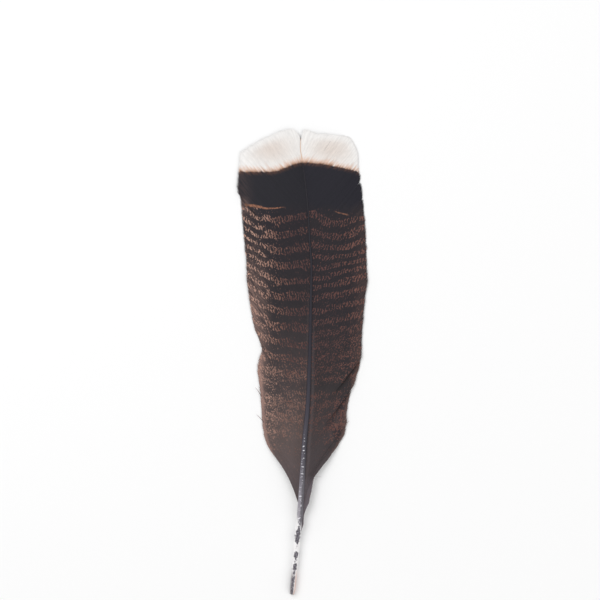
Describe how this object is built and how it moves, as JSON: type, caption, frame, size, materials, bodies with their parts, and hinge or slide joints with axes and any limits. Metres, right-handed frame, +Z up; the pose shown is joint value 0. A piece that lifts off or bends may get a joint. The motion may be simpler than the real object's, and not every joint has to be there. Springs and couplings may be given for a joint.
{
  "type": "turkey tail feather",
  "caption": "Barred dark brown turkey tail feather with a white tip, a black band below it and a bare quill, lying on its underside.",
  "frame": {"origin": "under the middle of the feather's box, on the surface that it lies on", "axes": "+Y along the feather from the quill's cut end to the vane's tip, +X to the right seen from above, +Z up from the surface, out of the feather's upper side"},
  "size_m": [0.0872, 0.3149, 0.0084],
  "materials": {
    "shaft": "satin",
    "vane_left": "matte",
    "vane_right": "matte"
  },
  "bodies": {
    "root": {"shaft": "shaft", "vane_left": "vane_left", "vane_right": "vane_right"}
  },
  "joints": []
}
